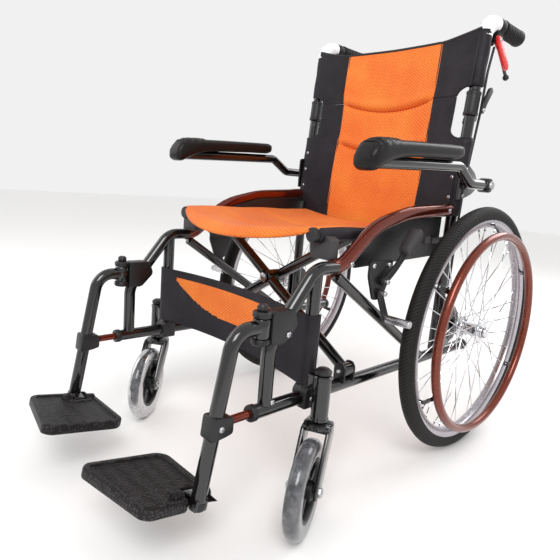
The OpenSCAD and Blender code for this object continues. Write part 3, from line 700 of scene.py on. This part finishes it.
# Parking brakes
for side, g in sides:
    bm = bmesh.new()
    lathe(bm, [(0, -4), (7.5, -4), (8, -3), (8, 3), (7.5, 4), (0, 4)], (232, -292, 372), (1, 0, 0), 24)
    plate(bm, [(-298, 378), (-290, 380), (-262, 400), (-240, 424), (-230, 414), (-256, 388), (-286, 364),
            (-298, 366)], 4, 229.5, 234.5, bevel=1.4)
    plate(bm, [(-246, 426), (-238, 412), (-226, 412), (-200, 440), (-198, 454), (-208, 462), (-218, 458)],
            8, 222, 243, bevel=4, material=1)
    sidePiece(side, g, "brake_lever", bm, [blackPlastic, greyPlastic], "brake_lever")

    bm = bmesh.new()
    plate(bm, [(-302, 354), (-296, 359), (-289, 354), (-262, 306), (-264, 296), (-274, 296), (-302, 348)],
            5, 227, 231.5, bevel=1.2)
    lathe(bm, [(0, 0), (6, 0), (7, 1), (7, 50), (6, 52), (0, 52)], (227, -268, 303), (1, 0, 0), 24, 1)
    sidePiece(side, g, "brake_shoe", bm, [blackPlastic, zincSteel], "brake_shoe")
print("parking brakes made")

# Hangers and footplates
hangerFoot = Vector((frameX, -636, 84))
hangerLean = math.atan2(45, 236)
footplate = {"reach": 142, "thick": 12, "rim": 6, "sink": 2.2, "skirt": 4}
for side, g in sides:
    bm = bmesh.new()
    tube(bm, [(frameX, -545, 320), (frameX, -591, 320), hangerFoot], [0, 32, 0], 22, count=28)
    lathe(bm, [(4.2, 305), (12, 305), (13, 307), (13, 331), (12, 333), (4.2, 333)], (frameX, -543, 0),
            (0, 0, 1), 28)
    plate(bm, [(-630, 174), (-606, 176), (-592, 179), (-592, 203), (-606, 206), (-626, 208)], 5, 194, 222,
            material=1, bevel=3)
    bolt(bm, (222, -614, 191), (1, 0, 0), 9, 2)
    lathe(bm, [(0, 0), (9, 0), (11, 1), (11.6, 3), (11.6, 12), (11, 13)], hangerFoot - Vector((0, 2, 9)),
            (0, math.sin(hangerLean), math.cos(hangerLean)), 28, 1)
    turn = Matrix.Translation(hangerFoot) @ Matrix.Rotation(-hangerLean, 4, "X")
    lug = bmesh.new()
    plate(lug, [(-27, -6), (0, -9), (10, -9), (10, 9), (0, 9), (-27, 6)], 3, -10, 10, "xz", bevel=1.5,
            material=0)
    rod(lug, (-19, -31, 0), (-19, 31, 0), 6, 14, material=2)
    bmesh.ops.transform(lug, matrix=turn, verts=lug.verts)
    joinInto(bm, lug)
    sidePiece(side, g, "hanger_tube", bm, [blackPaint, blackPlastic, zincSteel], "hanger")

    # Plate, drawn flat about its hinge and then tilted with the hanger
    bm = bmesh.new()
    reach = footplate["reach"]
    outline = [(3, -14), (3, -74), (-6, -85), (10 - reach, -108), (-reach - 2, -97), (-reach - 2, 20),
            (10 - reach, 34), (-19, 34), (-10, 24), (-10, 14), (-32, 14), (-32, -14)]
    half = footplate["thick"] / 2
    plate(bm, outline, 9, -half - footplate["skirt"], half, "xy", bevel=3)
    bm.faces.ensure_lookup_table()
    top = max((f for f in bm.faces if f.normal.z > 0.9), key=lambda f: f.calc_area())
    inner = bmesh.ops.inset_region(bm, faces=[top], thickness=footplate["rim"], depth=0,
            use_even_offset=True)
    bmesh.ops.inset_region(bm, faces=[top], thickness=1.5, depth=-footplate["sink"], use_even_offset=True)
    for s in (-1, 1):
        lathe(bm, [(0, 0), (9.4, 0), (10.4, 1), (10.4, 15), (9.4, 16), (0, 16)], (-19, s * 22 - 8, 0),
                (0, 1, 0), 24)
        lathe(bm, [(0, 0), (4, 0), (4, 1), (0, 1)], (-19, s * 30.2, 0), (0, s, 0), 12, 1)
    bmesh.ops.transform(bm, matrix=turn, verts=bm.verts)
    sidePiece(side, g, "footplate", bm, [pebblePlastic, zincSteel], "footplate")
print("footrests made")

# Casters
caster = {"radius": 75, "trail": 50, "yaw": {"left": 27, "right": -38}}
for side, g in sides:
    stem = Vector((stemX, stemY, 0))
    turn = Matrix.Translation(stem) @ Matrix.Rotation(math.radians(caster["yaw"][side]), 4, "Z")
    centre = (0, -caster["trail"], caster["radius"])
    bm = bmesh.new()
    lathe(bm, [(0, 0), (20, 0), (23, 2), (23, 6), (19, 9), (8, 11), (6, 12), (6, 88), (9, 88), (9, 91),
            (0, 92)], (0, 0, 153), (0, 0, 1), 32)
    for s in (-1, 1):
        low = s * 20 - 3
        plate(bm, [(-18, 158), (17, 158), (16, 140), (-37, 66), (-50, 61), (-63, 66), (-64, 80),
                (-53, 100)], 8, low, low + 6, bevel=1.8)
    plate(bm, [(-23, 150), (23, 150), (22, 160), (-22, 160)], 4, -17, 17, "xz", bevel=1.5)
    bmesh.ops.transform(bm, matrix=turn, verts=bm.verts)
    sidePiece(side, g, "caster_fork", bm, [blackPaint], "caster_fork")

    bm = bmesh.new()
    r = caster["radius"]
    profile = [(r - 26, 11.5), (r - 12, 13), (r - 5, 11), (r - 1, 6), (r, 0), (r - 1, -6), (r - 5, -11),
            (r - 12, -13), (r - 26, -11.5), (r - 26, 11.5)]
    lathe(bm, profile, centre, (1, 0, 0), 72)
    bmesh.ops.transform(bm, matrix=turn, verts=bm.verts)
    sidePiece(side, g, "caster_tyre", bm, [casterTread], "caster_wheel", smooth=50)

    bm = bmesh.new()
    lathe(bm, [(r - 25.8, 11.5), (r - 31, 11), (r - 33, 8), (r - 33, -8), (r - 31, -11), (r - 25.8, -11.5)],
            centre, (1, 0, 0), 60)
    lathe(bm, [(4, -15.5), (12, -15.5), (14.5, -13), (14.5, 13), (12, 15.5), (4, 15.5)], centre, (1, 0, 0),
            28)
    for k in range(5):
        spoke = bmesh.new()
        plate(spoke, [(-6, 12), (-4.5, 24), (-7, 43), (7, 43), (4.5, 24), (6, 12)], 3, -6, 6, bevel=1.5)
        around = Matrix.Translation(centre) @ Matrix.Rotation(2 * math.pi * k / 5, 4, "X")
        bmesh.ops.transform(spoke, matrix=around, verts=spoke.verts)
        joinInto(bm, spoke)
    rod(bm, (-25, centre[1], centre[2]), (25, centre[1], centre[2]), 8, 16, material=1)
    for s in (-1, 1):
        lathe(bm, [(7.5, 0), (7.5, 3), (5.5, 5), (0, 5.4)], (s * 23.4, centre[1], centre[2]), (s, 0, 0), 6,
                1)
    bmesh.ops.transform(bm, matrix=turn, verts=bm.verts)
    sidePiece(side, g, "caster_hub", bm, [blackPlastic, zincSteel], "caster_wheel")
print("casters made")

# Rear wheels
rearWheel = {"x": 264, "radius": 254, "spokes": 36, "handrim": (300, 200, 17), "tabs": 6}
for side, g in sides:
    centre = Vector((rearWheel["x"], 0, axleZ))
    axis = (1, 0, 0)
    bm = bmesh.new()
    tyreR = rearWheel["radius"]
    profile = [(tyreR - 27.5, 9.5), (tyreR - 24, 12.5), (tyreR - 15, 13.8), (tyreR - 8, 12),
            (tyreR - 4.5, 9.2), (tyreR - 3.4, 8.6), (tyreR - 2.6, 7.2), (tyreR - 1, 4.4), (tyreR, 1.2)]
    profile += [(a, -b) for a, b in reversed(profile)]
    lathe(bm, profile, centre, axis, 120)
    lathe(bm, [(tyreR - 27.5, 9.5), (tyreR - 27.5, -9.5)], centre, axis, 120)
    sidePiece(side, g, "rear_tyre", bm, [tyreRubber], "rear_wheel", smooth=60)

    bm = bmesh.new()
    r = tyreR - 27
    profile = [(r - 1.2, 9), (r + 1.8, 10.4), (r + 2.2, 11.6), (r - 2, 11.8), (r - 9, 10.4), (r - 13, 6.4),
            (r - 14, 2), (r - 14, -2), (r - 13, -6.4), (r - 9, -10.4), (r - 2, -11.8), (r + 2.2, -11.6),
            (r + 1.8, -10.4), (r - 1.2, -9), (r - 1.2, 9)]
    lathe(bm, profile, centre, axis, 120)
    count = rearWheel["spokes"]
    for i in range(count):
        s = 1 if i % 2 == 0 else -1
        lean = math.radians(62 if (i // 2) % 2 == 0 else -62)
        a = 2 * math.pi * i / count
        inner = centre + Vector((s * 21.5, 20 * math.cos(a + lean), 20 * math.sin(a + lean)))
        outer = centre + Vector((s * 1.5, (r - 13) * math.cos(a), (r - 13) * math.sin(a)))
        rod(bm, inner, outer, 2.0, 6, material=1)
        rod(bm, outer + (inner - outer).normalized() * 9, outer, 3.6, 6, material=1)
    handX, handR, handD = rearWheel["handrim"]
    for k in range(rearWheel["tabs"]):
        a = math.radians(30 + 60 * k)
        out = Vector((0, math.cos(a), math.sin(a)))
        base = centre + out * (r - 8) + Vector((10.5, 0, 0))
        tip = Vector((handX - 8, 0, axleZ)) + out * (handR + 3)
        path = roundedPath([base, base + Vector((7, 0, 0)) + out * 1, tip], [0, 6, 0])
        sweep(bm, path, ringOf(10, 3.5, 12), across=out.cross(Vector((1, 0, 0))), material=2)
        bolt(bm, base + Vector((1.5, 0, 0)) + out * 1.5, (1, 0, 0), 7, 1)
    sidePiece(side, g, "rear_rim", bm, [rimAlloy, chromeSteel, blackPaint], "rear_wheel")

    bm = bmesh.new()
    lathe(bm, [(6.3, -28), (12, -28), (13, -26), (13, -23.6), (22.5, -23.2), (23.2, -22), (22.5, -20.4),
            (16, -19.4), (13, -16), (12.4, 0), (13, 16), (16, 19.4), (22.5, 20.4), (23.2, 22), (22.5, 23.2),
            (13, 23.6), (13, 26.5), (12, 28), (6.3, 28)], centre, axis, 40)
    sidePiece(side, g, "rear_hub", bm, [chromeSteel], "rear_wheel")

    bm = bmesh.new()
    ringTube(bm, (handX, 0, axleZ), axis, handR, handD, steps=120, sides=18)
    sidePiece(side, g, "handrim", bm, [rimPaint], "rear_wheel", smooth=60)
print("rear wheels made")

# Cross brace and seat rails
footZ, railZ, railX = 216, 445, 178
midZ = footZ + frameX * (railZ - footZ) / (frameX + railX)
for name, g, y in (("cross_bar_a", 1, -341), ("cross_bar_b", -1, -319)):
    bm = bmesh.new()
    rod(bm, (frameX, y, footZ), (-railX, y, railZ), 20, 28)
    lathe(bm, [(4.1, -10.5), (11, -10.5), (12, -9.5), (12, 9.5), (11, 10.5), (4.1, 10.5)],
            (frameX, y, footZ), (0, 1, 0), 24)
    lathe(bm, [(5.1, -10.5), (12.6, -10.5), (13.5, -9.5), (13.5, 9.5), (12.6, 10.5), (5.1, 10.5)],
            (0, y, midZ), (0, 1, 0), 24)
    tube(bm, [(-railX, -420, railZ), (-railX, -62, railZ)], [0, 0], 22, count=28)
    lathe(bm, [(0, -3), (11, -3), (12.4, -1), (12.4, 9), (11, 10)], (-railX, -422, railZ), (0, 1, 0), 28, 1)
    # Gusset between the bar and its rail
    plate(bm, [(-railX - 4, railZ - 4), (-railX + 4, railZ - 8), (-railX + 44, railZ - 24),
            (-railX + 34, railZ - 34), (-railX - 2, railZ - 14)], 4, y - 2.5, y + 2.5, "xz")
    used = [blackPaint, blackPlastic, zincSteel]
    if g > 0:
        rod(bm, (0, -356, midZ), (0, -303, midZ), 9.4, 18, material=2)
        for at, d in ((-353.5, -1), (-306.5, 1)):
            lathe(bm, [(9, 0), (9, 4), (6, 5.4), (0, 5.6)], (0, at, midZ), (0, d, 0), 6, 2)
    addPiece(name, bm, used, "cross_a" if g > 0 else "cross_b", [name], g)
print("cross brace made")


# Cloth
def clothPiece(name, across, along, point, kind, size, materials, thick):
    # A sheet of cloth through point(s, t), with s from -1 to 1 across and t from 0 to 1 along. Sizes in mm
    bm = bmesh.new()
    uvLayer = bm.loops.layers.uv.new("UVMap")
    grid = [[bm.verts.new(point(-1 + 2 * i / across, j / along)) for j in range(along + 1)]
            for i in range(across + 1)]
    for i in range(across):
        for j in range(along):
            face = bm.faces.new((grid[i][j], grid[i + 1][j], grid[i + 1][j + 1], grid[i][j + 1]))
            face.material_index = kind(-1 + 2 * (i + 0.5) / across, (j + 0.5) / along)
            for loop, (a, b) in zip(face.loops, ((i, j), (i + 1, j), (i + 1, j + 1), (i, j + 1))):
                loop[uvLayer].uv = (a / across * size[0] / 1000, b / along * size[1] / 1000)
    piece = addPiece(name, bm, materials, None)
    solid = piece.modifiers.new("thickness", "SOLIDIFY")
    solid.thickness = thick / 1000
    solid.offset = 0
    return piece


backrest = {"orange": 120, "top": 830, "bottom": 440, "cut": (650, 722), "sag": 26, "pleats": (718, 626),
        "dip": 20, "pipe": 3.4}
# The mesh's share of the cloth's half width
meshShare = 0.577


def pleatLine(pleat, x):
    return pleat - backrest["dip"] * max(0, 1 - (x / backrest["orange"]) ** 2)


def backPoint(x, z):
    # The back cloth hangs a little behind the front of the posts, gathered in a fold at each pleat
    away = max(0, 1 - (x / frameX) ** 2) ** 1.6
    y = postY(z) - 13.5 + backrest["sag"] * away * (0.75 + 0.25 * math.sin((z - 482) / 366 * math.pi))
    for pleat in backrest["pleats"]:
        line = pleatLine(pleat, x)
        if abs(x) < backrest["orange"]:
            inside = min(1, (backrest["orange"] - abs(x)) / 18)
            y += inside * (7 * math.exp(-((z - line) / 4) ** 2) - 4.5 * math.exp(-((z - line - 13) / 9) ** 2))
    y += 1.6 * math.exp(-((abs(x) - backrest["orange"]) / 3.5) ** 2)
    y += 1.3 * math.sin(z / 31 + x / 17) * (1 if abs(x) > backrest["orange"] else 0.3)
    return Vector((x, y, z))


def bandReach(z):
    # Half the width of the cloth: full at the posts, and less beside the folding joint
    low, high = backrest["cut"]
    if z < 482:
        return 188
    if z <= low - 14 or z >= high + 14:
        return frameX
    t = min(1, (z - low + 14) / 20, (high + 14 - z) / 20)
    return frameX - 31 * math.sqrt(max(0, 1 - (1 - t) ** 2))


def backSheet(name, upper, body, node, rows):
    def point(s, t):
        split = pleatLine(backrest["pleats"][0], s * frameX)
        top = backrest["top"] + 15 * max(0, (abs(s) * frameX - 128) / 80) ** 1.5
        low, high = (split + 0.5, top) if upper else (backrest["bottom"], split - 0.5)
        z = low + (high - low) * t
        if abs(s) < meshShare:
            x = s * frameX
        else:
            middle = backrest["orange"]
            x = math.copysign(middle + (abs(s) - meshShare) / (1 - meshShare) * (bandReach(z) - middle), s)
        return backPoint(x, z)

    piece = clothPiece(name, 78, rows, point, lambda s, t: 0 if abs(s) < meshShare else 1,
            (416, rows * 3.2), [orangeMesh, charcoalNylon], 4)
    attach(piece, body)
    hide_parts(node)
    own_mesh(piece)
    return piece


upperCloth = backSheet("backrest_upper_cloth", True, "left_back", "backrest_upper", 40)
lowerCloth = backSheet("backrest_lower_cloth", False, "left_frame", "backrest_lower", 72)

# Piping where the orange mesh meets the nylon, and the binding along the top edge
for name, low, high, body in (("upper", 720, 828, "left_back"), ("lower", 450, 716, "left_frame")):
    bm = bmesh.new()
    for s in (-1, 1):
        x = s * backrest["orange"]
        path = [backPoint(x, low + (high - low) * k / 30) - Vector((0, 1.2, 0)) for k in range(31)]
        sweep(bm, path, ringOf(backrest["pipe"], backrest["pipe"], 10))
    if name == "upper":
        path = [backPoint(x, backrest["top"] + 15 * max(0, (abs(x) - 128) / 80) ** 1.5)
                for x in range(-206, 207, 4)]
        sweep(bm, path, ringOf(7, 6, 10), across=(0, 1, 0))
    piping = addPiece("back_piping_" + name, bm, [bindingTape], body)
    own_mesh(piping)

# Cloth sleeves round the posts, with the seam and the screws that hold them
for side, g in sides:
    for name, low, high, body in (("upper", 737, 842, side + "_back"),
            ("lower", 484, 638, side + "_frame")):
        bm = bmesh.new()
        uvLayer = bm.loops.layers.uv.new("UVMap")
        rows = []
        for j in range(15):
            z = low + (high - low) * j / 14
            ring = []
            for k in range(25):
                t = math.radians(-100 + 360 * k / 24)
                r = 13.4 + 0.5 * math.sin(z / 9 + t * 2)
                ring.append(bm.verts.new((frameX + r * math.cos(t), postY(z) + r * math.sin(t), z)))
            rows.append(ring)
        for j in range(14):
            for k in range(24):
                face = bm.faces.new((rows[j][k], rows[j][k + 1], rows[j + 1][k + 1], rows[j + 1][k]))
                for loop, (a, b) in zip(face.loops, ((k, j), (k + 1, j), (k + 1, j + 1), (k, j + 1))):
                    loop[uvLayer].uv = (a * 0.0035, b / 14 * (high - low) / 1000)
        sleeve = addPiece(side + "_" + name + "_sleeve", bm, [charcoalNylon], body, (), g)
        solid = sleeve.modifiers.new("thickness", "SOLIDIFY")
        solid.thickness = 0.0016
        solid.offset = 1
    bm = bmesh.new()
    for z in (520, 560, 600):
        bolt(bm, (frameX - 6, postY(z) - 14.5, z), (0, -1, 0), 8)
    addPiece(side + "_cloth_screws", bm, [zincSteel], side + "_frame", (), g)

# Distance from a tube's middle to the cloth wrapped round it
wrapRadius = 12.6

seat = {"front": -416, "bulge": 54, "back": -56, "sag": (12, 13), "orange": 0.9, "seams": (-345, -225)}


def seatPoint(s, t):
    # The seat sling: it hangs between the rails, wraps over them and rolls down at the front edge
    flat, wrap = railX, 30
    distance = abs(s) * (flat + wrap)
    if distance <= flat:
        x = distance
        sag = seat["sag"][0] + seat["sag"][1] * math.sin(math.pi * t ** 0.8)
        z = railZ + 12.5 - sag * (1 - (x / flat) ** 2)
    else:
        angle = math.radians(90) - (distance - flat) / wrapRadius
        x = flat + wrapRadius * math.cos(angle)
        z = railZ + wrapRadius * math.sin(angle)
    frontY = seat["front"] - seat["bulge"] * max(0, 1 - (x / 186) ** 2)
    length = seat["back"] - frontY
    along = length * t
    roll = 34 * max(0, 1 - (x / 190) ** 4)
    if along < roll and roll > 1:
        angle = (1 - along / roll) * math.radians(85)
        radius = roll / math.radians(85)
        y = frontY + radius - radius * math.sin(angle)
        z -= radius * (1 - math.cos(angle))
    else:
        y = frontY + (along - roll) + (roll / math.radians(85) if roll > 1 else 0)
    for seam in seat["seams"]:
        z -= 2.6 * math.exp(-((y - seam) / 5) ** 2) * max(0, 1 - (x / 176) ** 6)
    z += 0.8 * math.sin(y / 23 + x / 40)
    return Vector((math.copysign(x, s), min(y, seat["back"]), z))


seatCloth = clothPiece("seat_cloth", 72, 66, seatPoint, lambda s, t: 0 if abs(s) < seat["orange"] else 1,
        (416, 410), [orangeMesh, charcoalNylon], 5)
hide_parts("seat_sling")
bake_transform(seatCloth)

strap = {"top": 326, "bottom": 214, "topSag": 2, "bottomSag": -6, "belly": 16}


def strapPoint(s, t):
    # The calf strap between the front posts, with its ends round them
    flat, wrap = frameX, 34
    distance = abs(s) * (flat + wrap)
    away = max(0, 1 - (min(distance, flat) / flat) ** 2)
    high = strap["top"] - strap["topSag"] * away
    z = strap["bottom"] - strap["bottomSag"] * away + (high - strap["bottom"]) * t
    if distance <= flat:
        x, y = distance, stemY - wrapRadius + strap["belly"] * away + 3 * math.sin(t * math.pi) * away
    else:
        angle = math.radians(-90) + (distance - flat) / wrapRadius
        x, y = frameX + wrapRadius * math.cos(angle), stemY + wrapRadius * math.sin(angle)
    return Vector((math.copysign(x, s), y, z))


def lensKind(s, t):
    # Orange mesh in a lens shape, charcoal round it
    x = s * 242 / 165
    if abs(x) >= 1:
        return 1
    arc = 1 - x * x
    return 0 if 0.86 > t > 0.86 - 0.52 * arc ** 0.8 else 1


strapCloth = clothPiece("calf_strap_cloth", 110, 46, strapPoint, lensKind, (484, 112),
        [orangeMesh, charcoalNylon], 3.5)
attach(strapCloth, "left_frame")
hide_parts("calf_strap")
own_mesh(strapCloth)
print("cloth made")

# Floor
bm = bmesh.new()
bmesh.ops.create_grid(bm, x_segments=2, y_segments=2, size=9)
floorMesh = bpy.data.meshes.new("floor")
bm.to_mesh(floorMesh)
bm.free()
floorMesh.materials.append(floorPaint)
floor = bpy.data.objects.new("floor", floorMesh)
bpy.context.scene.collection.objects.link(floor)

print("floor made")
